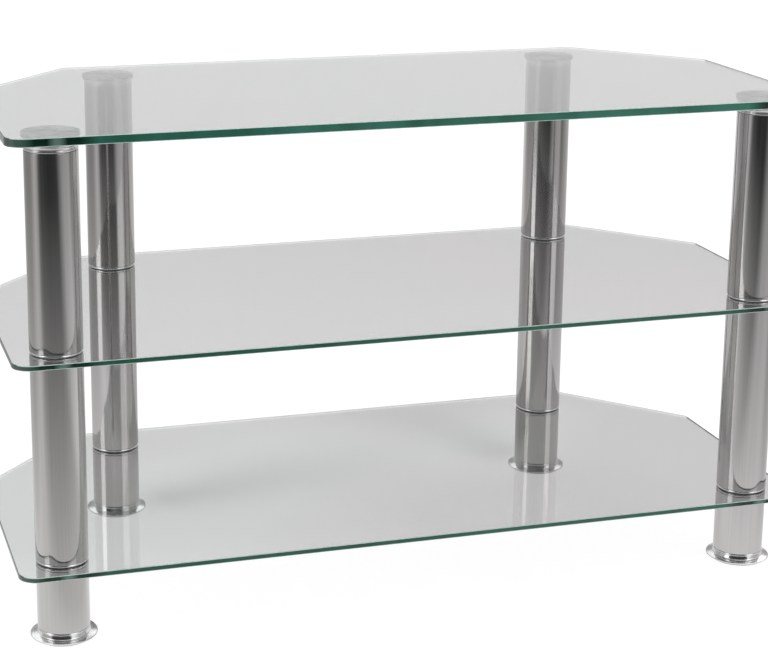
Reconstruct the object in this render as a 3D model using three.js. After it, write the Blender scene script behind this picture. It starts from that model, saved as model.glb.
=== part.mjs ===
// Free-standing glass television stand: three six-sided glass sheets on four round steel legs.
// Each leg is a stack of short tubes, and a threaded rod inside it clamps the whole stack together.
// Millimetres, +Z up, origin on the floor under the middle of the stand, front edge towards -Y.

import * as THREE from "three";

// Glass outline: straight front and sides, then the rear corners are cut off at a slant.
const WIDTH = 800;
const DEPTH = 380;
const BACK_EDGE_WIDTH = 580;
const SIDE_EDGE_LENGTH = 257;
const FRONT_CORNER_RADIUS = 18;
const REAR_CORNER_RADIUS = 7;

// Heights, from the floor up.
const FOOT_HEIGHT = 10;
const FLOOR_TO_BOTTOM_GLASS = 72;
const BAY_HEIGHT = 200;
const SHELF_GLASS_THICKNESS = 5;
const TOP_GLASS_THICKNESS = 8;
const GLASS_CHAMFER = 0.6;

// Legs.
const TUBE_DIAMETER = 50;
const TUBE_WALL = 1.5;
const LEG_INSET_FROM_FRONT = 41;
const LEG_INSET_FROM_BACK = 45;
const FRONT_LEG_SPACING = 710;
const REAR_LEG_SPACING = 498;

// Pieces that join a leg to the glass. Faces that press on each other are CONTACT_GAP apart.
const CONTACT_GAP = 0.2;
const FIT_CLEARANCE = 0.3;
const CAP_RIM_HEIGHT = 2;
const CAP_PLUG_LENGTH = 8;
const GROMMET_FLANGE = 0.6;
const GROMMET_FLANGE_RADIUS = 18;
const GROMMET_NECK_RADIUS = 7;
const GLASS_HOLE_RADIUS = 8;
const DISC_THICKNESS = 1.5;
const COLLAR_RADIUS = 27;
const COLLAR_HEIGHT = 8;
const COLLAR_NECK_HEIGHT = 2.4;
const COLLAR_LIP = 0.8;
const ROD_RADIUS = 4;
const ROD_HOLE_RADIUS = 4.6;

// Foot.
const FOOT_RADIUS = 32;
const FOOT_RIM_HEIGHT = 1.6;
const FOOT_NECK_HEIGHT = 2.5;
const PAD_THICKNESS = 1.5;
const PAD_RADIUS = 29;

// How finely round pieces are faceted.
const TUBE_SEGMENTS = 20;
const GROMMET_SEGMENTS = 12;
const ROD_SEGMENTS = 8;
const FLARE_STEPS = 3;
const GLASS_CURVE_SEGMENTS = 4;

// Levels of the glass faces.
const BOTTOM_GLASS_Z = FLOOR_TO_BOTTOM_GLASS;
const MIDDLE_GLASS_Z = BOTTOM_GLASS_Z + SHELF_GLASS_THICKNESS + BAY_HEIGHT;
const TOP_GLASS_Z = MIDDLE_GLASS_Z + SHELF_GLASS_THICKNESS + BAY_HEIGHT;

// Radii worked out from the tube.
const TUBE_RADIUS = TUBE_DIAMETER / 2;
const TUBE_BORE_RADIUS = TUBE_RADIUS - TUBE_WALL;
const PLUG_RADIUS = TUBE_BORE_RADIUS - FIT_CLEARANCE;

// Each cap has a recess in its face for the flange of the grommet, so that its rim meets the glass.
const RECESS_RADIUS = GROMMET_FLANGE_RADIUS + FIT_CLEARANCE;
const RECESS_DEPTH = GROMMET_FLANGE + CONTACT_GAP;

// At a drilled shelf, how far a tube's end lies from the face of the glass.
const JOINT_HEIGHT = CONTACT_GAP + CAP_RIM_HEIGHT + CONTACT_GAP;

const FRONT_LEG_Y = -DEPTH / 2 + LEG_INSET_FROM_FRONT;
const REAR_LEG_Y = DEPTH / 2 - LEG_INSET_FROM_BACK;
const LEGS = [
  { name: "front_left", x: -FRONT_LEG_SPACING / 2, y: FRONT_LEG_Y },
  { name: "front_right", x: FRONT_LEG_SPACING / 2, y: FRONT_LEG_Y },
  { name: "rear_left", x: -REAR_LEG_SPACING / 2, y: REAR_LEG_Y },
  { name: "rear_right", x: REAR_LEG_SPACING / 2, y: REAR_LEG_Y },
];

function metal(color, roughness) {
  return new THREE.MeshStandardMaterial({ color, roughness, metalness: 1 });
}

function glass(color) {
  return new THREE.MeshStandardMaterial({ color, roughness: 0.05, transparent: true, opacity: 0.4 });
}

function moulded(color, roughness) {
  return new THREE.MeshStandardMaterial({ color, roughness, metalness: 0 });
}

const materials = {
  topGlass: glass(0xcfe3d9),
  shelfGlass: glass(0xc9ddd5),
  tube: metal(0xc8c6c4, 0.12),
  ring: metal(0xe2e2e0, 0.16),
  foot: metal(0xd6d6d4, 0.15),
  disc: metal(0xb4b8b2, 0.4),
  rod: metal(0x9a9a98, 0.45),
  nylon: moulded(0xd9dad4, 0.4),
  rubber: moulded(0x242424, 0.7),
};

// A solid of revolution about +Z. The profile is a list of [radius, height] points that goes outward
// along the bottom, up the outside and inward along the top.
function turned(profile, segments) {
  const points = profile.map(([radius, height]) => new THREE.Vector2(radius, height));
  const geometry = new THREE.LatheGeometry(points, segments);
  geometry.rotateX(Math.PI / 2);
  return geometry;
}

function turnedRing(profile, segments) {
  return turned([...profile, profile[0]], segments);
}

// A plain tube or washer standing on z = 0.
function tube(innerRadius, outerRadius, height) {
  return turnedRing([
    [innerRadius, 0],
    [outerRadius, 0],
    [outerRadius, height],
    [innerRadius, height],
  ], TUBE_SEGMENTS);
}

// A solid disc or rod standing on z = 0.
function disc(radius, height, segments) {
  return turned([
    [0, 0],
    [radius, 0],
    [radius, height],
    [0, height],
  ], segments);
}

// A cap for the lower end of a tube: the rim stands on z = 0 and the plug points up into the tube.
function capBelowTube() {
  const plugTop = CAP_RIM_HEIGHT + CAP_PLUG_LENGTH;
  return turnedRing([
    [ROD_HOLE_RADIUS, RECESS_DEPTH],
    [RECESS_RADIUS, RECESS_DEPTH],
    [RECESS_RADIUS, 0],
    [TUBE_RADIUS, 0],
    [TUBE_RADIUS, CAP_RIM_HEIGHT],
    [PLUG_RADIUS, CAP_RIM_HEIGHT],
    [PLUG_RADIUS, plugTop],
    [ROD_HOLE_RADIUS, plugTop],
  ], TUBE_SEGMENTS);
}

// A cap for the upper end of a tube: the rim stands on z = 0 and the plug points down into the tube.
function capAboveTube() {
  return turnedRing([
    [ROD_HOLE_RADIUS, -CAP_PLUG_LENGTH],
    [PLUG_RADIUS, -CAP_PLUG_LENGTH],
    [PLUG_RADIUS, 0],
    [TUBE_RADIUS, 0],
    [TUBE_RADIUS, CAP_RIM_HEIGHT],
    [RECESS_RADIUS, CAP_RIM_HEIGHT],
    [RECESS_RADIUS, CAP_RIM_HEIGHT - RECESS_DEPTH],
    [ROD_HOLE_RADIUS, CAP_RIM_HEIGHT - RECESS_DEPTH],
  ], TUBE_SEGMENTS);
}

// A nylon spool that lines a glass hole, with z = 0 on the underside of the glass.
function grommet() {
  const lowerFlangeTop = -CONTACT_GAP;
  const upperFlangeBottom = SHELF_GLASS_THICKNESS + CONTACT_GAP;
  return turnedRing([
    [ROD_HOLE_RADIUS, lowerFlangeTop - GROMMET_FLANGE],
    [GROMMET_FLANGE_RADIUS, lowerFlangeTop - GROMMET_FLANGE],
    [GROMMET_FLANGE_RADIUS, lowerFlangeTop],
    [GROMMET_NECK_RADIUS, lowerFlangeTop],
    [GROMMET_NECK_RADIUS, upperFlangeBottom],
    [GROMMET_FLANGE_RADIUS, upperFlangeBottom],
    [GROMMET_FLANGE_RADIUS, upperFlangeBottom + GROMMET_FLANGE],
    [ROD_HOLE_RADIUS, upperFlangeBottom + GROMMET_FLANGE],
  ], GROMMET_SEGMENTS);
}

// A hollow quarter curve from the edge of a flange in to the tube's radius.
function hollowFlare(edgeRadius, edgeLevel, neckLevel) {
  const points = [];
  for (let step = 0; step <= FLARE_STEPS; step += 1) {
    const angle = (step / FLARE_STEPS) * (Math.PI / 2);
    points.push([
      edgeRadius - (edgeRadius - TUBE_RADIUS) * Math.sin(angle),
      neckLevel - (neckLevel - edgeLevel) * Math.cos(angle),
    ]);
  }
  return points;
}

// The collar closes the top of the leg: it flares out to the bonded disc, and its plug has the blind
// hole that the rod ends in. z = 0 is the end of the tube.
function topCollar() {
  const flare = hollowFlare(COLLAR_RADIUS, COLLAR_HEIGHT - COLLAR_LIP, COLLAR_NECK_HEIGHT);
  return turned([
    [0, 0],
    [ROD_HOLE_RADIUS, 0],
    [ROD_HOLE_RADIUS, -CAP_PLUG_LENGTH],
    [PLUG_RADIUS, -CAP_PLUG_LENGTH],
    [PLUG_RADIUS, 0],
    [TUBE_RADIUS, 0],
    ...flare.reverse(),
    [COLLAR_RADIUS, COLLAR_HEIGHT],
    [0, COLLAR_HEIGHT],
  ], TUBE_SEGMENTS);
}

// The foot flares from the tube out to a thin rim in a hollow quarter curve. z = 0 is its underside.
function footFlange() {
  const top = FOOT_HEIGHT - PAD_THICKNESS - CONTACT_GAP;
  return turned([
    [0, 0],
    [FOOT_RADIUS, 0],
    ...hollowFlare(FOOT_RADIUS, FOOT_RIM_HEIGHT, top - FOOT_NECK_HEIGHT),
    [TUBE_RADIUS, top],
    [PLUG_RADIUS, top],
    [PLUG_RADIUS, top + CAP_PLUG_LENGTH],
    [ROD_HOLE_RADIUS, top + CAP_PLUG_LENGTH],
    [ROD_HOLE_RADIUS, top],
    [0, top],
  ], TUBE_SEGMENTS);
}

// A closed outline through the given corners, anticlockwise, with an arc at each corner.
function roundedOutline(corners) {
  const shape = new THREE.Shape();
  corners.forEach(({ point, radius }, index) => {
    const before = corners[(index + corners.length - 1) % corners.length].point;
    const after = corners[(index + 1) % corners.length].point;
    const toBefore = before.clone().sub(point).normalize();
    const toAfter = after.clone().sub(point).normalize();
    const halfAngle = Math.acos(toBefore.dot(toAfter)) / 2;
    const start = point.clone().addScaledVector(toBefore, radius / Math.tan(halfAngle));
    const end = point.clone().addScaledVector(toAfter, radius / Math.tan(halfAngle));
    const inward = toBefore.clone().add(toAfter).normalize();
    const centre = point.clone().addScaledVector(inward, radius / Math.sin(halfAngle));
    if (index === 0) {
      shape.moveTo(start.x, start.y);
    } else {
      shape.lineTo(start.x, start.y);
    }
    const startAngle = start.clone().sub(centre).angle();
    const endAngle = end.clone().sub(centre).angle();
    shape.absarc(centre.x, centre.y, radius, startAngle, endAngle, false);
  });
  shape.closePath();
  return shape;
}

function glassOutline() {
  const side = WIDTH / 2;
  const front = -DEPTH / 2;
  const sideEnd = front + SIDE_EDGE_LENGTH;
  const backEnd = BACK_EDGE_WIDTH / 2;
  const back = DEPTH / 2;
  return roundedOutline([
    { point: new THREE.Vector2(-side, front), radius: FRONT_CORNER_RADIUS },
    { point: new THREE.Vector2(side, front), radius: FRONT_CORNER_RADIUS },
    { point: new THREE.Vector2(side, sideEnd), radius: REAR_CORNER_RADIUS },
    { point: new THREE.Vector2(backEnd, back), radius: REAR_CORNER_RADIUS },
    { point: new THREE.Vector2(-backEnd, back), radius: REAR_CORNER_RADIUS },
    { point: new THREE.Vector2(-side, sideEnd), radius: REAR_CORNER_RADIUS },
  ]);
}

// A sheet of glass lying on z = 0, with ground edges, and a hole at each leg where it is drilled.
function glassSheet(thickness, drilled) {
  const shape = glassOutline();
  if (drilled) {
    for (const leg of LEGS) {
      const hole = new THREE.Path();
      hole.absarc(leg.x, leg.y, GLASS_HOLE_RADIUS, 0, 2 * Math.PI, false);
      shape.holes.push(hole);
    }
  }
  const geometry = new THREE.ExtrudeGeometry(shape, {
    depth: thickness - 2 * GLASS_CHAMFER,
    curveSegments: GLASS_CURVE_SEGMENTS,
    bevelThickness: GLASS_CHAMFER,
    bevelSize: GLASS_CHAMFER,
    bevelOffset: -GLASS_CHAMFER,
    bevelSegments: 1,
  });
  geometry.translate(0, 0, GLASS_CHAMFER);
  return geometry;
}

function addPiece(parent, name, geometry, material, z) {
  const piece = new THREE.Mesh(geometry, material);
  piece.name = name;
  piece.position.z = z;
  parent.add(piece);
}

// One leg, from the pad on the floor to the disc bonded under the top glass.
function addLeg(stand, leg) {
  const group = new THREE.Group();
  group.position.set(leg.x, leg.y, 0);
  stand.add(group);
  const add = (name, geometry, material, z) => {
    addPiece(group, `${leg.name}_${name}`, geometry, material, z);
  };

  const tubeBetween = (name, low, high) => {
    add(name, tube(TUBE_BORE_RADIUS, TUBE_RADIUS, high - low), materials.tube, low);
  };
  const rimBelow = (glassZ) => glassZ - CONTACT_GAP - CAP_RIM_HEIGHT;
  const rimAbove = (glassZ) => glassZ + SHELF_GLASS_THICKNESS + CONTACT_GAP;

  add("foot_pad", disc(PAD_RADIUS, PAD_THICKNESS, TUBE_SEGMENTS), materials.rubber, 0);
  add("foot_flange", footFlange(), materials.foot, PAD_THICKNESS + CONTACT_GAP);

  tubeBetween("lower_tube", FOOT_HEIGHT + CONTACT_GAP, BOTTOM_GLASS_Z - JOINT_HEIGHT);
  add("lower_tube_top_cap", capAboveTube(), materials.ring, rimBelow(BOTTOM_GLASS_Z));
  add("bottom_shelf_grommet", grommet(), materials.nylon, BOTTOM_GLASS_Z);

  const middleTubeLow = BOTTOM_GLASS_Z + SHELF_GLASS_THICKNESS + JOINT_HEIGHT;
  add("middle_tube_bottom_cap", capBelowTube(), materials.ring, rimAbove(BOTTOM_GLASS_Z));
  tubeBetween("middle_tube", middleTubeLow, MIDDLE_GLASS_Z - JOINT_HEIGHT);
  add("middle_tube_top_cap", capAboveTube(), materials.ring, rimBelow(MIDDLE_GLASS_Z));
  add("middle_shelf_grommet", grommet(), materials.nylon, MIDDLE_GLASS_Z);

  const discZ = TOP_GLASS_Z - CONTACT_GAP - DISC_THICKNESS;
  const collarZ = discZ - CONTACT_GAP - COLLAR_HEIGHT;
  const upperTubeLow = MIDDLE_GLASS_Z + SHELF_GLASS_THICKNESS + JOINT_HEIGHT;
  add("upper_tube_end_cap", capBelowTube(), materials.ring, rimAbove(MIDDLE_GLASS_Z));
  tubeBetween("upper_tube", upperTubeLow, collarZ - CONTACT_GAP);
  add("top_collar", topCollar(), materials.ring, collarZ);
  add("bonded_disc", disc(COLLAR_RADIUS, DISC_THICKNESS, TUBE_SEGMENTS), materials.disc, discZ);

  const rodLow = FOOT_HEIGHT + CONTACT_GAP;
  const rodHigh = collarZ - CONTACT_GAP;
  add("tie_rod", disc(ROD_RADIUS, rodHigh - rodLow, ROD_SEGMENTS), materials.rod, rodLow);
}

const stand = new THREE.Group();
const topSheet = glassSheet(TOP_GLASS_THICKNESS, false);
addPiece(stand, "top_glass", topSheet, materials.topGlass, TOP_GLASS_Z);
for (const [name, z] of [["middle_glass", MIDDLE_GLASS_Z], ["bottom_glass", BOTTOM_GLASS_Z]]) {
  addPiece(stand, name, glassSheet(SHELF_GLASS_THICKNESS, true), materials.shelfGlass, z);
}
for (const leg of LEGS) {
  addLeg(stand, leg);
}

export default stand;
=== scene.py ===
import math

import bmesh
import bpy
from mathutils import Matrix, Vector


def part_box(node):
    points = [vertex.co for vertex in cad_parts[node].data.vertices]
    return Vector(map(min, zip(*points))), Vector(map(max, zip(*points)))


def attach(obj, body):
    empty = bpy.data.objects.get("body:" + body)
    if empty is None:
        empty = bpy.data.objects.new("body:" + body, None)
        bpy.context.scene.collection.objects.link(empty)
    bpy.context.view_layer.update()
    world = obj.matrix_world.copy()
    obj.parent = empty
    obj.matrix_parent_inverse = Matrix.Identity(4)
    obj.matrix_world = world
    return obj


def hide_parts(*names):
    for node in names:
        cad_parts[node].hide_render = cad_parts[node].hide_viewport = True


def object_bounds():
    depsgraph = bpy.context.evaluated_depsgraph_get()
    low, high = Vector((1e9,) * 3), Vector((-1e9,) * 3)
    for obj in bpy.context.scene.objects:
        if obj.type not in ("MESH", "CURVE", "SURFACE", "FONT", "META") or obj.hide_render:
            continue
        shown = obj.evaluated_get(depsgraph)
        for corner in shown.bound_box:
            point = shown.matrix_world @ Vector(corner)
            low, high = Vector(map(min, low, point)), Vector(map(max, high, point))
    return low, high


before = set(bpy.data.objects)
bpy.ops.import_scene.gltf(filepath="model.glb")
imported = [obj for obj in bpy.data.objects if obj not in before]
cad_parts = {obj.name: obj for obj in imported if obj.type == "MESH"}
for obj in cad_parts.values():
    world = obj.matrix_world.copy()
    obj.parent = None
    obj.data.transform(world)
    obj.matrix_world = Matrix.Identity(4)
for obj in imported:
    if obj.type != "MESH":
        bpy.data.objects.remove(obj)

# A glass television stand on four polished steel legs, in metres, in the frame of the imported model.
# Every visible piece is rebuilt with fine rounded edges in the place of its own node.

CAD_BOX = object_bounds()
LEGS = ("front_left", "front_right", "rear_left", "rear_right")

# Glass sheets: the outline has straight sides and slanted rear corners.
BACK_EDGE_WIDTH = 0.580
SIDE_EDGE_LENGTH = 0.257
FRONT_CORNER_RADIUS = 0.018
REAR_CORNER_RADIUS = 0.007
GLASS_ARRIS = 0.0006
GLASS_HOLE_RADIUS = 0.008
GLASS_HOLE_STEPS = 48
ARC_STEPS = 12
ARRIS_STEPS = 4
GLASS_IOR = 1.52

# The finishes of a sheet, in the order of its material slots. An edge whose outward direction has more
# than BACK_FACING of +Y is a rear edge, and only one that faces the front has an arris with a painted
# pale highlight.
FACE, EDGE, ARRIS, REAR = range(4)
BACK_FACING = 0.05
FRONT_FACING = -0.5

# The rear edges bend light so little that it passes nearly straight through.
REAR_EDGE_IOR = 1.02

# The polished edge, by the distance from a leg's axis along X: painted shade about as wide as the leg,
# for the dark leg seen through the glass, with a thin painted glint in its middle, for the leg's bright
# rings. Both show on the front edge only. The side edges are painted greyer, as shade.
LEG_SHADE_REACH = (0.020, 0.038)
LEG_GLINT = (0.002, 0.009)
GLINT_SHARE = 0.7
FRONT_EDGE_Y = (-0.10, -0.16)
SIDE_EDGE_X = (0.376, 0.394)
# Painted colours: the shade in front of a leg, the glint in it, and the grey shade of the side edges.
LEG_SHADE_GREEN = (0.002, 0.022, 0.013)
GLINT_GREEN = (0.16, 0.25, 0.22)
SIDE_SHADE_GREY = (0.075, 0.110, 0.095)

# Turned and drawn metal pieces.
TURNED_STEPS = 96
TUBE_WALL = 0.0015
FIT_CLEARANCE = 0.0003
ROD_HOLE_RADIUS = 0.0046
EDGE_ROUND = 0.0004
ROUND_STEPS = 4
ROUND_SHARE = 0.45
GUARD = 0.00015
GUARDED_RUN = 6 * GUARD
SMOOTH_ANGLE = math.radians(38)
CAP_RIM_HEIGHT = 0.002
RECESS_RADIUS = 0.0183
RECESS_DEPTH = 0.0008
BEAD_DEPTH = 0.0008
BEAD_STEPS = 10
GROMMET_NECK_RADIUS = 0.007
FLANGE_SHARE = 0.75
COLLAR_HEIGHT = 0.008
COLLAR_LIP = 0.0026
COLLAR_BEAD_HEIGHT = 0.0024
FLARE_STEPS = 12
FOOT_NECK_TOP = 0.0083
FOOT_BEAD_HEIGHT = 0.0024
FOOT_RIM_HEIGHT = 0.0017
FOOT_RIM_RISE = 0.0012
FOOT_CONE_SPREAD = 0.0011
FOOT_FILLET = 0.0005
DISC_HUB_RADIUS = 0.009
DISC_RIM_WIDTH = 0.003
DISC_RECESS = 0.0004
RING_WAVES = 260.0
# The bonded disc's painted sheen: its lobes round the centre and its share of the colour.
PAINTED_SHEEN_LOBES = 2
PAINTED_SHEEN_SHARE = 0.18

# Camera: fitted lens, with a small shift that brings the legs nearer to upright.
CAMERA_PLACE = (-0.6143, -1.8902, 0.8273)
CAMERA_YAW = math.radians(-15.67)
CAMERA_PITCH = math.radians(13.78)
CAMERA_ROLL = math.radians(0.10)
CAMERA_LENS = 92.89
CAMERA_SHIFT = (0.1146, -0.1406)

# Where most of a noise's values lie.
NOISE_LOW = 0.3
NOISE_HIGH = 0.7

# Studio.
FLOOR_SIZE = 30.0
FLOOR_GLOW = 0.95
FLOOR_ALBEDO = 0.12
BACKGROUND = 1.0
OVERHEAD = 1.30

# Each rear leg's painted soft shadow: its direction in degrees from +X, its length, and its depth at the
# start.
PAINTED_REAR_SHADOWS = (("rear_left", 13, 0.42, 0.24), ("rear_right", 112, 0.34, 0.22))
SHADOW_WIDTH = (0.030, 0.090)
SHADOW_START = 0.06

# The sweep's near shade fills a rectangle with these half sizes, and fades over its reach beyond it.
SWEEP_HALF_X = 0.36
SWEEP_HALF_Y = 0.15
SWEEP_REACH = 2.0
SWEEP_RADIUS = 22.5
SWEEP_GAP = 0.0005

# Heights in degrees between which the world goes over from one band to the next.
HORIZON_TO_WALLS = (11.0, 13.0)
WALLS_TO_UPPER = (22.0, 28.0)
UPPER_TO_OVERHEAD = (54.0, 66.0)


# ---------------------------------------------------------------------------------- mesh helpers

def new_object(name, bm, smooth_angle=None):
    """Links a bmesh as an object. With smooth_angle, only edges sharper than that stay sharp."""
    bmesh.ops.recalc_face_normals(bm, faces=bm.faces)
    mesh = bpy.data.meshes.new(name)
    bm.to_mesh(mesh)
    bm.free()
    if smooth_angle is not None:
        mesh.shade_smooth()
        mesh.set_sharp_from_angle(angle=smooth_angle)
    piece = bpy.data.objects.new(name, mesh)
    bpy.context.scene.collection.objects.link(piece)
    return piece


def rounded(points, radius, keep=()):
    """Rounds the corners of a closed (radius, height) profile, except those whose index is in keep."""
    result = []
    count = len(points)
    for index, corner in enumerate(points):
        corner = Vector(corner)
        if index in keep:
            result.append(corner)
            continue
        before = Vector(points[index - 1]) - corner
        after = Vector(points[(index + 1) % count]) - corner
        reach = min(radius, before.length * ROUND_SHARE, after.length * ROUND_SHARE)
        start = corner + before.normalized() * reach
        end = corner + after.normalized() * reach
        for step in range(ROUND_STEPS + 1):
            t = step / ROUND_STEPS
            result.append(start * (1 - t) ** 2 + corner * 2 * t * (1 - t) + end * t ** 2)
    return result


def bead(radius, low, high):
    """A half-round moulding between two heights, bulging out to the given radius."""
    middle = (low + high) / 2
    points = []
    for step in range(BEAD_STEPS + 1):
        angle = math.pi * (step / BEAD_STEPS - 0.5)
        points.append((
            radius - BEAD_DEPTH * (1 - math.cos(angle)),
            middle + (high - low) / 2 * math.sin(angle),
        ))
    return points


def hollow_flare(inner, outer, low, high):
    """A quarter curve that sweeps from (outer, low) in and up to (inner, high)."""
    points = []
    for step in range(FLARE_STEPS + 1):
        angle = math.pi / 2 * step / FLARE_STEPS
        points.append((
            outer - (outer - inner) * math.sin(angle),
            high - (high - low) * math.cos(angle),
        ))
    return points


def stepped_flare(neck, rim, low, high):
    """From the rim inward over a nearly flat flange, through a tight curve, and up a steep cone."""
    corner = Vector((neck + FOOT_CONE_SPREAD, low + FOOT_RIM_RISE))
    edge, top = Vector((rim, low)), Vector((neck, high))
    start = corner + (edge - corner).normalized() * FOOT_FILLET
    end = corner + (top - corner).normalized() * FOOT_FILLET
    points = [edge]
    for step in range(FLARE_STEPS + 1):
        t = step / FLARE_STEPS
        points.append(start * (1 - t) ** 2 + corner * 2 * t * (1 - t) + end * t ** 2)
    return [tuple(point) for point in points + [top]]


def guarded(profile, closed):
    """Puts a point close to both ends of every long run, so that it shades as true as it is flat."""
    result = []
    for index, point in enumerate(profile):
        result.append(point)
        if index == len(profile) - 1 and not closed:
            break
        start, end = Vector(point), Vector(profile[(index + 1) % len(profile)])
        if (end - start).length > GUARDED_RUN:
            step = (end - start).normalized() * GUARD
            result += [tuple(start + step), tuple(end - step)]
    return result


def turned(name, profile, centre, base):
    """A solid of revolution about a vertical axis. A profile off the axis closes on itself."""
    bm = bmesh.new()
    closed = profile[0][0] > 0
    profile = guarded(profile, closed)
    rings = []
    for radius, height in profile:
        if radius == 0:
            rings.append([bm.verts.new((centre[0], centre[1], base + height))])
            continue
        ring = []
        for step in range(TURNED_STEPS):
            angle = 2 * math.pi * step / TURNED_STEPS
            x = centre[0] + radius * math.cos(angle)
            y = centre[1] + radius * math.sin(angle)
            ring.append(bm.verts.new((x, y, base + height)))
        rings.append(ring)
    pairs = list(zip(rings, rings[1:]))
    if closed:
        pairs.append((rings[-1], rings[0]))
    for lower, upper in pairs:
        for step in range(TURNED_STEPS):
            following = (step + 1) % TURNED_STEPS
            if len(lower) == 1:
                bm.faces.new((lower[0], upper[following], upper[step]))
            elif len(upper) == 1:
                bm.faces.new((lower[step], lower[following], upper[0]))
            else:
                bm.faces.new((lower[step], lower[following], upper[following], upper[step]))
    return new_object(name, bm, SMOOTH_ANGLE)


def place_of(node):
    """Centre, radius, lowest and highest point of a round node."""
    low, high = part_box(node)
    centre = ((low[0] + high[0]) / 2, (low[1] + high[1]) / 2)
    return centre, (high[0] - low[0]) / 2, low[2], high[2]


def stand_in(piece, node, material):
    """Gives a piece its material and puts it in the place of its node."""
    piece.data.materials.append(material)
    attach(piece, "root")
    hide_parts(node)


# ---------------------------------------------------------------------------------- the legs

def make_tube(name, node):
    centre, radius, low, high = place_of(node)
    height = high - low
    bore = radius - TUBE_WALL
    profile = rounded([(bore, 0), (radius, 0), (radius, height), (bore, height)], EDGE_ROUND)
    return turned(name, profile, centre, low)


def make_cap(name, node, plug_up):
    """An end cap: a beaded rim that shows, a plug that fills the tube, and a recess towards the glass."""
    centre, radius, low, high = place_of(node)
    height = high - low
    plug = radius - TUBE_WALL - FIT_CLEARANCE
    profile = [(ROD_HOLE_RADIUS, RECESS_DEPTH), (RECESS_RADIUS, RECESS_DEPTH), (RECESS_RADIUS, 0)]
    profile += bead(radius, 0, CAP_RIM_HEIGHT)
    profile += [(plug, CAP_RIM_HEIGHT), (plug, height - EDGE_ROUND)]
    profile += [(plug - EDGE_ROUND, height), (ROD_HOLE_RADIUS, height)]
    if not plug_up:
        profile = [(across, height - level) for across, level in reversed(profile)]
    return turned(name, profile, centre, low)


def make_grommet(name, node, sheet):
    """A nylon spool that lines a drilled hole, with a thin flange on each face of the sheet."""
    centre, radius, low, high = place_of(node)
    sheet_low, sheet_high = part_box(sheet)
    lower = low + (sheet_low[2] - low) * FLANGE_SHARE
    upper = high - (high - sheet_high[2]) * FLANGE_SHARE
    profile = rounded([
        (ROD_HOLE_RADIUS, 0),
        (radius, 0),
        (radius, lower - low),
        (GROMMET_NECK_RADIUS, lower - low),
        (GROMMET_NECK_RADIUS, upper - low),
        (radius, upper - low),
        (radius, high - low),
        (ROD_HOLE_RADIUS, high - low),
    ], EDGE_ROUND / 2)
    return turned(name, profile, centre, low)


def make_collar(name, node):
    """The turned piece on top of a leg: a bead, a hollow flare and a thin lip, and its plug."""
    centre, radius, low, high = place_of(node)
    height = high - low
    shoulder = height - COLLAR_HEIGHT
    bead_top = shoulder + COLLAR_BEAD_HEIGHT
    tube_radius = place_of(node.replace("top_collar", "upper_tube"))[1]
    plug = tube_radius - TUBE_WALL - FIT_CLEARANCE
    flare = hollow_flare(tube_radius - BEAD_DEPTH, radius - BEAD_DEPTH, height - COLLAR_LIP, bead_top)
    profile = [(0, shoulder), (ROD_HOLE_RADIUS, shoulder), (ROD_HOLE_RADIUS, 0), (plug, 0)]
    profile += [(plug, shoulder)]
    profile += bead(tube_radius, shoulder, bead_top)
    profile += list(reversed(flare))[1:-1]
    profile += bead(radius, height - COLLAR_LIP, height) + [(0, height)]
    return turned(name, profile, centre, low)


def make_disc(name, node):
    """The disc glued under the glass: a hub and a rim with a shallow turned recess between them."""
    centre, radius, low, high = place_of(node)
    height = high - low
    floor = height - DISC_RECESS
    profile = [(0, 0), (radius - EDGE_ROUND, 0), (radius, EDGE_ROUND), (radius, height - EDGE_ROUND)]
    profile += [(radius - EDGE_ROUND, height), (radius - DISC_RIM_WIDTH, height)]
    profile += [(radius - DISC_RIM_WIDTH - DISC_RECESS, floor), (DISC_HUB_RADIUS + DISC_RECESS, floor)]
    profile += [(DISC_HUB_RADIUS, height), (0, height)]
    return turned(name, profile, centre, low)


def make_foot(name, node):
    """The foot: a bead, a steep neck and a thin flange, with a plug that fills the tube."""
    centre, radius, low, high = place_of(node)
    height = high - low
    tube_radius = place_of(node.replace("foot_flange", "lower_tube"))[1]
    plug = tube_radius - TUBE_WALL - FIT_CLEARANCE
    top = FOOT_NECK_TOP
    bead_low = top - FOOT_BEAD_HEIGHT
    neck = tube_radius - BEAD_DEPTH
    profile = [(0, 0), (radius - EDGE_ROUND, 0), (radius, EDGE_ROUND)]
    profile += [(radius, FOOT_RIM_HEIGHT - EDGE_ROUND)]
    profile += stepped_flare(neck, radius - EDGE_ROUND, FOOT_RIM_HEIGHT, bead_low)
    profile += bead(tube_radius, bead_low, top)[1:]
    profile += [(plug, top), (plug, height), (ROD_HOLE_RADIUS, height), (ROD_HOLE_RADIUS, top), (0, top)]
    return turned(name, profile, centre, low)


def make_pad(name, node):
    centre, radius, low, high = place_of(node)
    height = high - low
    profile = rounded([(0, 0), (radius, 0), (radius, height), (0, height)], EDGE_ROUND, keep=(0, 3))
    return turned(name, profile, centre, low)


# ---------------------------------------------------------------------------------- the glass

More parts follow.
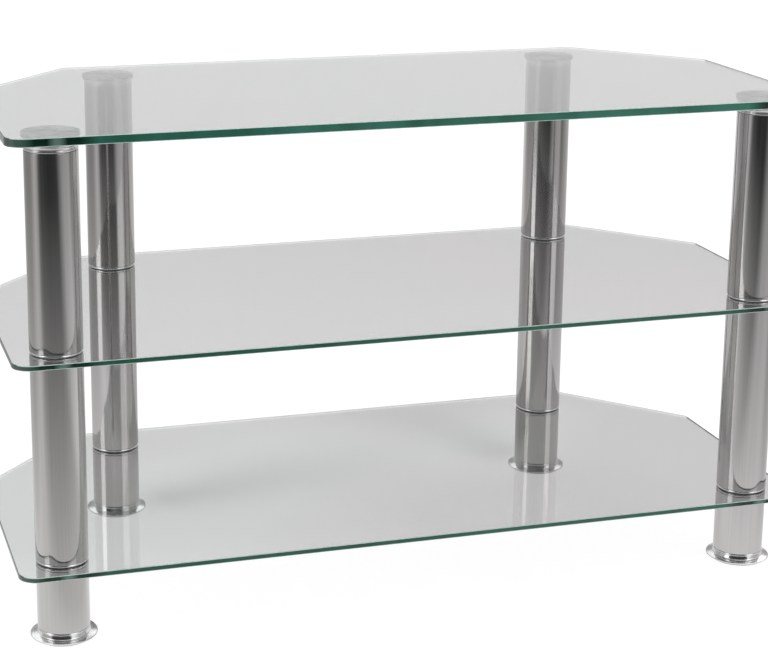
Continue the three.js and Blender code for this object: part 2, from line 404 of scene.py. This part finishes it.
def outline():
    """Points of the sheets' outline with their outward directions, anticlockwise from front left."""
    low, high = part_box("top_glass")
    side_end = low[1] + SIDE_EDGE_LENGTH
    back = BACK_EDGE_WIDTH / 2
    corners = [
        (Vector((low[0], low[1])), FRONT_CORNER_RADIUS),
        (Vector((high[0], low[1])), FRONT_CORNER_RADIUS),
        (Vector((high[0], side_end)), REAR_CORNER_RADIUS),
        (Vector((back, high[1])), REAR_CORNER_RADIUS),
        (Vector((-back, high[1])), REAR_CORNER_RADIUS),
        (Vector((low[0], side_end)), REAR_CORNER_RADIUS),
    ]
    result = []
    for index, (corner, radius) in enumerate(corners):
        before = (corners[index - 1][0] - corner).normalized()
        after = (corners[(index + 1) % len(corners)][0] - corner).normalized()
        half = math.acos(before.dot(after)) / 2
        centre = corner + (before + after).normalized() * radius / math.sin(half)
        first = corner + before * radius / math.tan(half) - centre
        sweep = math.pi - 2 * half
        for step in range(ARC_STEPS + 1):
            out = Matrix.Rotation(sweep * step / ARC_STEPS, 2) @ first.normalized()
            result.append((centre + out * radius, out))
    return result


def hole_outline(centre):
    """Points of a drilled hole with the direction that leads out of the glass, which is inward."""
    result = []
    for step in range(GLASS_HOLE_STEPS):
        angle = 2 * math.pi * step / GLASS_HOLE_STEPS
        out = Vector((math.cos(angle), math.sin(angle)))
        result.append((Vector(centre) + out * GLASS_HOLE_RADIUS, -out))
    return result


def make_sheet(name, node, drilled):
    """A glass sheet: flat faces, a polished edge, and a fine rounded arris along both its lines."""
    low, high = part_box(node)
    loops = [outline()]
    if drilled:
        for leg in LEGS:
            loops.append(hole_outline(place_of(leg + "_tie_rod")[0]))
    profile = []
    for step in range(ARRIS_STEPS + 1):
        angle = math.pi / 2 * step / ARRIS_STEPS
        profile.append((GLASS_ARRIS * (1 - math.sin(angle)), GLASS_ARRIS * (1 - math.cos(angle))))
    thickness = high[2] - low[2]
    profile += [(inset, thickness - height) for inset, height in reversed(profile)]

    bm = bmesh.new()
    bottom_edges, top_edges = [], []
    for loop in loops:
        rings = []
        for inset, height in profile:
            ring = []
            for point, out in loop:
                place = point - out * inset
                ring.append(bm.verts.new((place.x, place.y, low[2] + height)))
            rings.append(ring)
        for level, (lower, upper) in enumerate(zip(rings, rings[1:])):
            for step in range(len(lower)):
                following = (step + 1) % len(lower)
                face = bm.faces.new((lower[step], lower[following], upper[following], upper[step]))
                face.smooth = True
                if loop is loops[0] and loop[step][1].y > BACK_FACING:
                    face.material_index = REAR
                elif level != ARRIS_STEPS and loop[step][1].y < FRONT_FACING:
                    face.material_index = ARRIS
                else:
                    face.material_index = EDGE
        for ring, edges in ((rings[0], bottom_edges), (rings[-1], top_edges)):
            for step in range(len(ring)):
                edges.append(bm.edges.get((ring[step], ring[(step + 1) % len(ring)])))
    for edges in (bottom_edges, top_edges):
        bmesh.ops.triangle_fill(bm, use_beauty=True, use_dissolve=False, edges=edges)
    return new_object(name, bm)


# ---------------------------------------------------------------------------------- materials

def fill_ramp(node, stops):
    """Gives a colour ramp its stops: (position, grey level or colour) pairs."""
    elements = node.color_ramp.elements
    while len(elements) < len(stops):
        elements.new(1.0)
    for element, (position, shade) in zip(elements, stops):
        element.position = position
        colour = shade if isinstance(shade, tuple) else (shade, shade, shade)
        element.color = (*colour, 1.0)


class Shader:
    """A material's node tree, with one short call for each kind of node that is used here."""

    def __init__(self, name):
        self.material = bpy.data.materials.new(name)
        self.material.use_nodes = True
        self.tree = self.material.node_tree
        self.nodes = self.tree.nodes
        self.bsdf = self.nodes["Principled BSDF"]

    def set(self, **values):
        for name, value in values.items():
            self.bsdf.inputs[name.replace("_", " ")].default_value = value

    def feed(self, source, socket):
        self.tree.links.new(source, self.bsdf.inputs[socket])

    def coordinates(self, kind="Object", scale=(1, 1, 1)):
        source = self.nodes.new("ShaderNodeTexCoord")
        mapping = self.nodes.new("ShaderNodeMapping")
        mapping.inputs["Scale"].default_value = scale
        self.tree.links.new(source.outputs[kind], mapping.inputs["Vector"])
        return mapping.outputs["Vector"]

    def noise(self, vector, scale, detail=3.0):
        node = self.nodes.new("ShaderNodeTexNoise")
        node.inputs["Scale"].default_value = scale
        node.inputs["Detail"].default_value = detail
        self.tree.links.new(vector, node.inputs["Vector"])
        return node.outputs["Fac"]

    def ramp(self, value, stops):
        node = self.nodes.new("ShaderNodeValToRGB")
        fill_ramp(node, stops)
        self.tree.links.new(value, node.inputs["Fac"])
        return node.outputs["Color"]

    def span(self, value, low, high, to_low, to_high):
        node = self.nodes.new("ShaderNodeMapRange")
        limits = {"From Min": low, "From Max": high, "To Min": to_low, "To Max": to_high}
        for name, number in limits.items():
            node.inputs[name].default_value = number
        self.tree.links.new(value, node.inputs["Value"])
        return node.outputs["Result"]

    def colour(self, noise, low, high):
        """Lets the base colour drift with a noise."""
        self.feed(self.ramp(noise, [(NOISE_LOW, low), (NOISE_HIGH, high)]), "Base Color")

    def roughen(self, noise, low, high):
        """Lets the roughness drift with a noise."""
        self.feed(self.span(noise, NOISE_LOW, NOISE_HIGH, low, high), "Roughness")

    def split(self, vector):
        """The X, Y and Z of a vector."""
        node = self.nodes.new("ShaderNodeSeparateXYZ")
        self.tree.links.new(vector, node.inputs["Vector"])
        return node.outputs["X"], node.outputs["Y"], node.outputs["Z"]

    def math(self, operation, first, second=None):
        """One step of arithmetic, on numbers or on sockets."""
        node = self.nodes.new("ShaderNodeMath")
        node.operation = operation
        for index, value in enumerate((first, second)):
            if isinstance(value, (int, float)):
                node.inputs[index].default_value = value
            elif value is not None:
                self.tree.links.new(value, node.inputs[index])
        return node.outputs["Value"]

    def mix(self, factor, first, second, blend="MIX"):
        """A blend of two colours, each a tuple or a socket."""
        node = self.nodes.new("ShaderNodeMix")
        node.data_type = "RGBA"
        node.blend_type = blend
        for name, value in (("Factor", factor), ("A", first), ("B", second)):
            sockets = [s for s in node.inputs if s.name == name and s.enabled]
            if isinstance(value, tuple):
                sockets[0].default_value = (*value, 1.0)
            elif isinstance(value, (int, float)):
                sockets[0].default_value = value
            else:
                self.tree.links.new(value, sockets[0])
        return next(s for s in node.outputs if s.enabled)

    def bump(self, height, strength, distance):
        node = self.nodes.new("ShaderNodeBump")
        node.inputs["Strength"].default_value = strength
        node.inputs["Distance"].default_value = distance
        self.tree.links.new(height, node.inputs["Height"])
        self.feed(node.outputs["Normal"], "Normal")


def drawn_tube():
    """Polished stainless tube: fine lines along its length, and a faint warm and cool drift."""
    shader = Shader("polished_tube")
    shader.set(Metallic=1.0)
    along = shader.coordinates(scale=(1, 1, 0.012))
    lines = shader.noise(along, scale=600, detail=2.0)
    drift = shader.noise(shader.coordinates(), scale=7, detail=2.0)
    tint = shader.ramp(drift, [(0.35, (0.578, 0.574, 0.562)), (0.65, (0.600, 0.577, 0.580))])
    streaks = shader.ramp(lines, [(0.25, 0.93), (0.75, 1.0)])
    shader.feed(shader.mix(1.0, tint, streaks, "MULTIPLY"), "Base Color")
    shader.roughen(lines, 0.07, 0.13)
    shader.bump(lines, strength=0.025, distance=0.0002)
    return shader.material


def turned_metal(name, low, high, roughness):
    """Bright plated metal with fine lines left by the lathe, round the axis."""
    shader = Shader(name)
    shader.set(Metallic=1.0)
    around = shader.coordinates(scale=(0.02, 0.02, 1))
    lines = shader.noise(around, scale=2600)
    shader.colour(shader.noise(shader.coordinates(), scale=60), low, high)
    shader.roughen(lines, *roughness)
    shader.bump(lines, strength=0.08, distance=0.0001)
    return shader.material


def bonded_metal():
    """The glued disc: turned aluminium with rings round its own centre, patches of glue, and a painted
    sheen in two lobes round its centre, for the bow-tie highlight of turned metal.
    """
    shader = Shader("bonded_disc_metal")
    shader.set(Metallic=1.0)
    own = shader.coordinates("Generated")
    centred = shader.nodes.new("ShaderNodeVectorMath")
    centred.operation = "SUBTRACT"
    centred.inputs[1].default_value = (0.5, 0.5, 0.5)
    shader.tree.links.new(own, centred.inputs[0])
    length = shader.nodes.new("ShaderNodeVectorMath")
    length.operation = "LENGTH"
    shader.tree.links.new(centred.outputs["Vector"], length.inputs[0])
    rings = shader.math("SINE", shader.math("MULTIPLY", length.outputs["Value"], RING_WAVES))
    turn = shader.nodes.new("ShaderNodeTexGradient")
    turn.gradient_type = "RADIAL"
    shader.tree.links.new(centred.outputs["Vector"], turn.inputs["Vector"])
    # Painted sheen: lighter and darker lobes round the centre, added to the glue patches.
    painted_sheen = shader.math("SINE", shader.math("MULTIPLY", turn.outputs["Fac"], PAINTED_SHEEN_LOBES * math.tau))
    glue = shader.noise(shader.coordinates(), scale=50, detail=2.0)
    patches = shader.math("ADD", glue, shader.math("MULTIPLY", painted_sheen, PAINTED_SHEEN_SHARE))
    shades = [(0.40, (0.60, 0.65, 0.63)), (0.60, (0.97, 1.0, 0.98))]
    shader.feed(shader.ramp(patches, shades), "Base Color")
    shader.roughen(glue, 0.22, 0.36)
    shader.bump(rings, strength=0.6, distance=0.00008)
    return shader.material


def moulded(name, low, high, roughness, grain_bump):
    """Moulded nylon or rubber: a fine matt grain and a slight drift of colour."""
    shader = Shader(name)
    grain = shader.noise(shader.coordinates(), scale=1800, detail=4.0)
    shader.colour(shader.noise(shader.coordinates(), scale=120, detail=2.0), low, high)
    shader.roughen(grain, *roughness)
    shader.bump(grain, strength=grain_bump, distance=0.0002)
    return shader.material


def threaded_steel():
    """Zinc-plated threaded rod."""
    shader = Shader("rod_steel")
    shader.set(Metallic=1.0)
    wave = shader.nodes.new("ShaderNodeTexWave")
    wave.bands_direction = "Z"
    wave.inputs["Scale"].default_value = 40.0
    shader.tree.links.new(shader.coordinates(scale=(1, 1, 6.4)), wave.inputs["Vector"])
    plating = shader.noise(shader.coordinates(), scale=200)
    shader.colour(plating, 0.38, 0.55)
    shader.roughen(plating, 0.3, 0.5)
    shader.bump(wave.outputs["Fac"], strength=0.8, distance=0.0006)
    return shader.material


def sheet_glass(name, cool, warm):
    """Clear float glass. Its smoky tint drifts from one side to the other, and its polish has faint wipe
    marks.
    On the bottom sheet the tint is also darker, and darkens towards +X, as painted shade."""
    shader = Shader(name)
    shader.set(Transmission_Weight=1.0, IOR=GLASS_IOR)
    left, right = CAD_BOX[0][0], CAD_BOX[1][0]
    across = shader.span(shader.split(shader.coordinates())[0], left, right, -0.15, 0.15)
    drift = shader.math("ADD", shader.noise(shader.coordinates(), scale=3.2, detail=1.0), across)
    shader.feed(shader.ramp(drift, [(0.38, cool), (0.62, warm)]), "Base Color")
    wiped = shader.noise(shader.coordinates(scale=(1, 3.5, 1)), scale=14, detail=5.0)
    shader.feed(shader.span(wiped, 0.35, 0.75, 0.0, 0.02), "Roughness")
    return shader.material


def edge_mottle(shader):
    """A slow drift along the edges, and less of it across their thickness."""
    return shader.noise(shader.coordinates(scale=(1, 1, 0.2)), scale=26, detail=2.0)


def polished_edge(name, low, high):
    """The edge of the sheet: green, a little lighter towards the right, with painted shade where a leg
    stands close behind it, a painted glint in the middle of that shade, and painted grey shade on the
    side edges."""
    shader = Shader(name)
    shader.set(IOR=GLASS_IOR)
    x, y, _ = shader.split(shader.coordinates())
    from_middle = shader.math("ABSOLUTE", x)
    leg_x = place_of("front_right_upper_tube")[0][0]
    beside_leg = shader.math("ABSOLUTE", shader.math("SUBTRACT", from_middle, leg_x))
    in_front = shader.span(y, *FRONT_EDGE_Y, 0.0, 1.0)
    # Painted shade where a leg stands behind the front edge, with a painted glint in its middle.
    painted_leg_shade = shader.math("MULTIPLY", shader.span(beside_leg, *LEG_SHADE_REACH, 1.0, 0.0), in_front)
    glint = shader.math("MULTIPLY", shader.span(beside_leg, *LEG_GLINT, GLINT_SHARE, 0.0), in_front)
    # Painted grey shade on the side edges.
    side_shade = shader.span(from_middle, *SIDE_EDGE_X, 0.0, 1.0)

    mottle = edge_mottle(shader)
    left, right = CAD_BOX[0][0], CAD_BOX[1][0]
    drift = shader.math("ADD", mottle, shader.span(x, left, right, -0.2, 0.2))
    colour = shader.ramp(drift, [(NOISE_LOW, low), (NOISE_HIGH, high)])
    colour = shader.mix(painted_leg_shade, colour, LEG_SHADE_GREEN)
    colour = shader.mix(glint, colour, GLINT_GREEN)
    shader.feed(shader.mix(side_shade, colour, SIDE_SHADE_GREY), "Base Color")
    shader.roughen(mottle, 0.06, 0.14)
    return shader.material


def rear_edge(name):
    """The polished edges at the back, which let most of the light straight through. They are painted a
    pale grey-green in place of the edges' deep green, as painted light for what shines through them.
    """
    shader = Shader(name)
    shader.set(Transmission_Weight=0.86, IOR=REAR_EDGE_IOR)
    mottle = edge_mottle(shader)
    # Painted light: a pale tint in place of the edges' deep green.
    shader.colour(mottle, (0.72, 0.78, 0.75), (0.84, 0.90, 0.87))
    shader.roughen(mottle, 0.03, 0.08)
    return shader.material


def arris_highlight_glass(name):
    """The fine rounded line where an edge meets a face: a painted pale mint highlight, for the light it
    catches.
    """
    shader = Shader(name)
    shader.set(IOR=GLASS_IOR)
    chips = shader.noise(shader.coordinates(), scale=300)
    shader.colour(chips, (0.42, 0.62, 0.53), (0.60, 0.76, 0.69))
    shader.roughen(chips, 0.15, 0.35)
    return shader.material


# ---------------------------------------------------------------------------------- studio

def make_camera():
    data = bpy.data.cameras.new("camera")
    data.lens = CAMERA_LENS
    data.shift_x, data.shift_y = CAMERA_SHIFT
    camera = bpy.data.objects.new("camera", data)
    turn = Matrix.Rotation(CAMERA_YAW, 4, "Z")
    tilt = Matrix.Rotation(math.pi / 2 - CAMERA_PITCH, 4, "X")
    roll = Matrix.Rotation(CAMERA_ROLL, 4, "Z")
    camera.matrix_world = Matrix.Translation(CAMERA_PLACE) @ turn @ tilt @ roll
    bpy.context.scene.collection.objects.link(camera)
    bpy.context.scene.camera = camera


def painted_leg_shadow(shader, leg, direction, length, depth):
    """How much a leg's painted soft shadow takes from the floor's glow."""
    turn = math.radians(-direction)
    foot = Matrix.Rotation(turn, 2) @ Vector(place_of(leg + "_foot_pad")[0])
    mapping = shader.nodes.new("ShaderNodeMapping")
    mapping.inputs["Rotation"].default_value = (0, 0, turn)
    mapping.inputs["Location"].default_value = (-foot.x, -foot.y, 0)
    shader.tree.links.new(shader.coordinates(), mapping.inputs["Vector"])
    along, across, _ = shader.split(mapping.outputs["Vector"])
    aside = shader.math("DIVIDE", across, shader.span(along, 0.0, length, *SHADOW_WIDTH))
    square = shader.math("MULTIPLY", aside, aside)
    bell = shader.math("EXPONENT", shader.math("MULTIPLY", square, -1.0))
    fading = shader.span(along, SHADOW_START, length, depth, 0.0)
    started = shader.span(along, 0.0, SHADOW_START, 0.0, 1.0)
    return shader.math("MULTIPLY", bell, shader.math("MULTIPLY", fading, started))


def make_floor():
    """A pale light table. The faint shadows behind the rear legs are painted shadows, left out of its
    glow.
    """
    bm = bmesh.new()
    bmesh.ops.create_grid(bm, x_segments=1, y_segments=1, size=FLOOR_SIZE / 2)
    floor = new_object("floor", bm)
    floor.location.z = CAD_BOX[0][2]
    shader = Shader("floor")
    shader.set(Base_Color=(FLOOR_ALBEDO,) * 3 + (1,), Roughness=0.8, Specular_IOR_Level=0.0)
    shader.set(Emission_Strength=FLOOR_GLOW)
    # Painted shadows behind the rear legs, taken out of the glow.
    shadow = shader.math("ADD", *(painted_leg_shadow(shader, *values) for values in PAINTED_REAR_SHADOWS))
    shader.feed(shader.mix(shadow, (1.0, 1.0, 1.0), (0.0, 0.0, 0.0)), "Emission Color")
    floor.data.materials.append(shader.material)


def heading(degrees, shade):
    """A stop of a radial ramp, its angle measured from the front towards +X."""
    return ((degrees + 90) / 360 % 1.0, shade)


def all_round(seam, *stops):
    """The stops of a radial ramp in order, with the same shade on both sides of its seam at -X."""
    return sorted([(0.0, seam), *stops, (1.0, seam)])


# What polished metal sees of the floor close to the stand, and far out round it.
NEAR_FLOOR = all_round(
    0.92,
    heading(-165, 0.60),
    heading(-150, 0.78),
    heading(-105, 0.85),
    heading(-85, 0.95),
    heading(-66, 0.90),
    heading(-52, 0.72),
    heading(8, 0.72),
    heading(30, 0.86),
    heading(60, 0.90),
    heading(75, 0.78),
    heading(126, 0.80),
    heading(150, 0.50),
)
FAR_FLOOR = all_round(
    0.46,
    heading(-168, 0.85),
    heading(-156, 0.60),
    heading(-144, 0.38),
    heading(-120, 0.30),
    heading(-100, 0.32),
    heading(-82, 0.60),
    heading(-72, 0.48),
    heading(-65, 0.16),
    heading(-56, 0.06),
    heading(-30, 0.03),
    heading(2, 0.04),
    heading(12, 0.20),
    heading(24, 0.40),
    heading(58, 0.48),
    heading(66, 0.26),
    heading(74, 0.20),
    heading(84, 0.34),
    heading(108, 0.50),
    heading(132, 0.64),
    heading(168, 0.85),
)

# How far the floor has turned from its near shade to its far one, at a share of the sweep's reach.
SWEEP_FADE = [(0.03, 0.0), (0.135, 0.23), (0.25, 0.44), (0.40, 0.64), (0.60, 0.81), (0.95, 1.0)]

# What polished pieces see round the stand: a dark front between two tall softboxes.
WALLS = all_round(
    1.0,
    heading(-150, 0.40),
    heading(-122, 0.25),
    heading(-92, 0.25),
    heading(-87, 2.20),
    heading(-69, 2.20),
    heading(-63, 0.05),
    heading(18, 0.05),
    heading(26, 1.30),
    heading(50, 1.30),
    heading(58, 0.30),
    heading(80, 0.42),
    heading(120, 0.40),
)

# The same higher up, where the ceiling's light reaches the walls except in front.
UPPER = all_round(
    1.85,
    heading(-165, 1.90),
    heading(-140, 0.95),
    heading(-95, 0.95),
    heading(-87, 2.40),
    heading(-69, 2.40),
    heading(-63, 0.05),
    heading(18, 0.05),
    heading(26, 2.40),
    heading(50, 2.40),
    heading(58, 0.95),
    heading(120, 0.95),
    heading(145, 1.90),
)

# The same just over the horizon, where a pale wall stands behind.
HORIZON = all_round(
    0.44,
    heading(-176, 0.82),
    heading(-150, 0.50),
    heading(-122, 0.45),
    heading(-74, 0.40),
    heading(-58, 0.05),
    heading(18, 0.05),
    heading(34, 0.50),
    heading(110, 0.50),
    heading(138, 0.86),
)


def make_sweep():
    """What reflections see of the studio floor, which falls away into the dark in front. It lies just
    over the floor, and nothing but reflections sees it."""
    bm = bmesh.new()
    bmesh.ops.create_circle(bm, cap_ends=True, segments=TURNED_STEPS, radius=SWEEP_RADIUS)
    sweep = new_object("sweep", bm)
    sweep.location.z = CAD_BOX[0][2] + SWEEP_GAP
    shader = Shader("sweep")
    tree = shader.tree
    position = shader.coordinates()
    x, y, _ = shader.split(position)
    squares = []
    for axis, half in ((x, SWEEP_HALF_X), (y, SWEEP_HALF_Y)):
        outside = shader.math("SUBTRACT", shader.math("ABSOLUTE", axis), half)
        beyond = shader.math("MAXIMUM", outside, 0.0)
        squares.append(shader.math("MULTIPLY", beyond, beyond))
    distance = shader.math("SQRT", shader.math("ADD", *squares))
    # The radial gradient runs from 0 at -X through 0.25 at -Y (the front), 0.5 at +X and 0.75 at +Y.
    angle = shader.nodes.new("ShaderNodeTexGradient")
    angle.gradient_type = "RADIAL"
    tree.links.new(position, angle.inputs["Vector"])
    far = shader.ramp(angle.outputs["Fac"], FAR_FLOOR)
    fade = shader.ramp(shader.span(distance, 0.0, SWEEP_REACH, 0.0, 1.0), SWEEP_FADE)
    near = shader.ramp(angle.outputs["Fac"], NEAR_FLOOR)
    emission = shader.nodes.new("ShaderNodeEmission")
    tree.links.new(shader.mix(fade, near, far), emission.inputs["Color"])
    # A ray that has met no mirror yet, such as one straight through the glass, sees the plain floor.
    clear = shader.nodes.new("ShaderNodeBsdfTransparent")
    ray = shader.nodes.new("ShaderNodeLightPath")
    either = shader.nodes.new("ShaderNodeMixShader")
    mirrored = shader.math("GREATER_THAN", ray.outputs["Glossy Depth"], 0.5)
    tree.links.new(mirrored, either.inputs["Fac"])
    tree.links.new(clear.outputs["BSDF"], either.inputs[1])
    tree.links.new(emission.outputs["Emission"], either.inputs[2])
    tree.links.new(either.outputs["Shader"], shader.nodes["Material Output"].inputs["Surface"])
    shader.nodes.remove(shader.bsdf)
    sweep.data.materials.append(shader.material)
    sweep.visible_camera = False
    sweep.visible_diffuse = False
    sweep.visible_shadow = False


def world_node(tree, kind, links, **values):
    """Adds a node to the world's tree, with its inputs linked or set."""
    node = tree.nodes.new(kind)
    for name, source in links.items():
        tree.links.new(source, node.inputs[name])
    for name, value in values.items():
        node.inputs[name.replace("_", " ")].default_value = value
    return node


def world_ramp(tree, value, stops):
    node = world_node(tree, "ShaderNodeValToRGB", {"Fac": value})
    fill_ramp(node, stops)
    return node.outputs["Color"]


def blend_over(tree, height, degrees, below, above):
    """Goes smoothly from one shade to another as a direction rises between two angles."""
    low, high = (math.sin(math.radians(angle)) for angle in degrees)
    limits = {"From_Min": low, "From_Max": high}
    rise = world_node(tree, "ShaderNodeMapRange", {"Value": height}, To_Min=0.0, To_Max=1.0, **limits)
    rise.interpolation_type = "SMOOTHSTEP"
    mix = tree.nodes.new("ShaderNodeMixRGB")
    tree.links.new(rise.outputs["Result"], mix.inputs["Fac"])
    for name, shade in (("Color1", below), ("Color2", above)):
        if isinstance(shade, float):
            mix.inputs[name].default_value = (shade, shade, shade, 1.0)
        else:
            tree.links.new(shade, mix.inputs[name])
    return mix.outputs["Color"]


def make_world():
    """Soft studio light from overhead and two softboxes, and plain pale where the camera sees it."""
    world = bpy.data.worlds.new("studio")
    world.use_nodes = True
    tree = world.node_tree
    source = tree.nodes.new("ShaderNodeTexCoord")
    direction = source.outputs["Generated"]
    split = world_node(tree, "ShaderNodeSeparateXYZ", {"Vector": direction})
    height = split.outputs["Z"]
    angle = world_node(tree, "ShaderNodeTexGradient", {"Vector": direction})
    angle.gradient_type = "RADIAL"
    walls = world_ramp(tree, angle.outputs["Fac"], WALLS)
    horizon = world_ramp(tree, angle.outputs["Fac"], HORIZON)
    upper = world_ramp(tree, angle.outputs["Fac"], UPPER)
    around = blend_over(tree, height, HORIZON_TO_WALLS, horizon, walls)
    around = blend_over(tree, height, WALLS_TO_UPPER, around, upper)
    shade = blend_over(tree, height, UPPER_TO_OVERHEAD, around, OVERHEAD)
    background = tree.nodes["Background"]
    tree.links.new(shade, background.inputs["Color"])
    plain = tree.nodes.new("ShaderNodeBackground")
    plain.inputs["Color"].default_value = (BACKGROUND, BACKGROUND, BACKGROUND, 1.0)
    ray = tree.nodes.new("ShaderNodeLightPath")
    either = tree.nodes.new("ShaderNodeMixShader")
    tree.links.new(ray.outputs["Is Camera Ray"], either.inputs["Fac"])
    tree.links.new(background.outputs["Background"], either.inputs[1])
    tree.links.new(plain.outputs["Background"], either.inputs[2])
    tree.links.new(either.outputs["Shader"], tree.nodes["World Output"].inputs["Surface"])
    bpy.context.scene.world = world


# ---------------------------------------------------------------------------------- assembly

def make_glass():
    face_top = sheet_glass("top_glass_face", (0.570, 0.585, 0.578), (0.582, 0.575, 0.577))
    face_middle = sheet_glass("middle_glass_face", (0.758, 0.762, 0.759), (0.772, 0.754, 0.761))
    # The bottom sheet is the shelves' glass tinted darker, and darker still towards +X, as painted shade.
    face_bottom_shaded = sheet_glass("bottom_glass_face_painted_shade", (0.705, 0.724, 0.715), (0.664, 0.655, 0.658))
    top_edge = polished_edge("top_glass_edge", (0.019, 0.106, 0.071), (0.036, 0.176, 0.124))
    shelf_edge = polished_edge("shelf_glass_edge", (0.019, 0.082, 0.056), (0.032, 0.116, 0.085))
    # The arrises that face the front get a painted pale highlight.
    arris = arris_highlight_glass("glass_arris_painted_highlight")
    rear = rear_edge("glass_rear_edge")
    # Node, slot, finishes of the faces and the edge, and whether the legs' rods pass through.
    sheets = (
        ("top_glass", "top_glass", face_top, top_edge, False),
        ("middle_glass", "shelf_glass", face_middle, shelf_edge, True),
        ("bottom_glass", "shelf_glass", face_bottom_shaded, shelf_edge, True),
    )
    for node, slot, face, edge, drilled in sheets:
        piece = make_sheet(node + "_sheet", node, drilled)
        stand_in(piece, node, face)
        for finish in (edge, arris, rear):
            piece.data.materials.append(finish)


def make_legs():
    tube = drawn_tube()
    ring = turned_metal("bright_ring", 0.74, 0.84, roughness=(0.070, 0.140))
    foot_metal = turned_metal("polished_foot", 0.70, 0.80, roughness=(0.091, 0.182))
    disc_metal = bonded_metal()
    pale, paler = (0.60, 0.61, 0.57), (0.74, 0.74, 0.70)
    nylon = moulded("grommet_nylon", pale, paler, roughness=(0.23, 0.47), grain_bump=0.15)
    pad_rubber = moulded("pad_rubber", 0.03, 0.06, roughness=(0.60, 0.84), grain_bump=0.4)
    rod_steel = threaded_steel()
    for leg in LEGS:
        for part in ("upper_tube", "middle_tube", "lower_tube"):
            node = f"{leg}_{part}"
            stand_in(make_tube(node + "_drawn", node), node, tube)
        for part, plug_up in (
            ("upper_tube_end_cap", True),
            ("middle_tube_top_cap", False),
            ("middle_tube_bottom_cap", True),
            ("lower_tube_top_cap", False),
        ):
            node = f"{leg}_{part}"
            stand_in(make_cap(node + "_beaded", node, plug_up), node, ring)
        for part, sheet in (
            ("middle_shelf_grommet", "middle_glass"),
            ("bottom_shelf_grommet", "bottom_glass"),
        ):
            node = f"{leg}_{part}"
            stand_in(make_grommet(node + "_spool", node, sheet), node, nylon)
        for part, make, suffix, slot, material in (
            ("top_collar", make_collar, "_flared", "bright_ring", ring),
            ("bonded_disc", make_disc, "_turned", "bonded_disc_metal", disc_metal),
            ("foot_flange", make_foot, "_flared", "polished_foot", foot_metal),
            ("foot_pad", make_pad, "_moulded", "pad_rubber", pad_rubber),
        ):
            node = f"{leg}_{part}"
            stand_in(make(node + suffix, node), node, material)
        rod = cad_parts[leg + "_tie_rod"]
        for material_slot in rod.material_slots:
            material_slot.material = rod_steel


make_camera()
make_floor()
make_sweep()
make_world()
make_glass()
make_legs()
bpy.context.scene.view_settings.view_transform = "Standard"
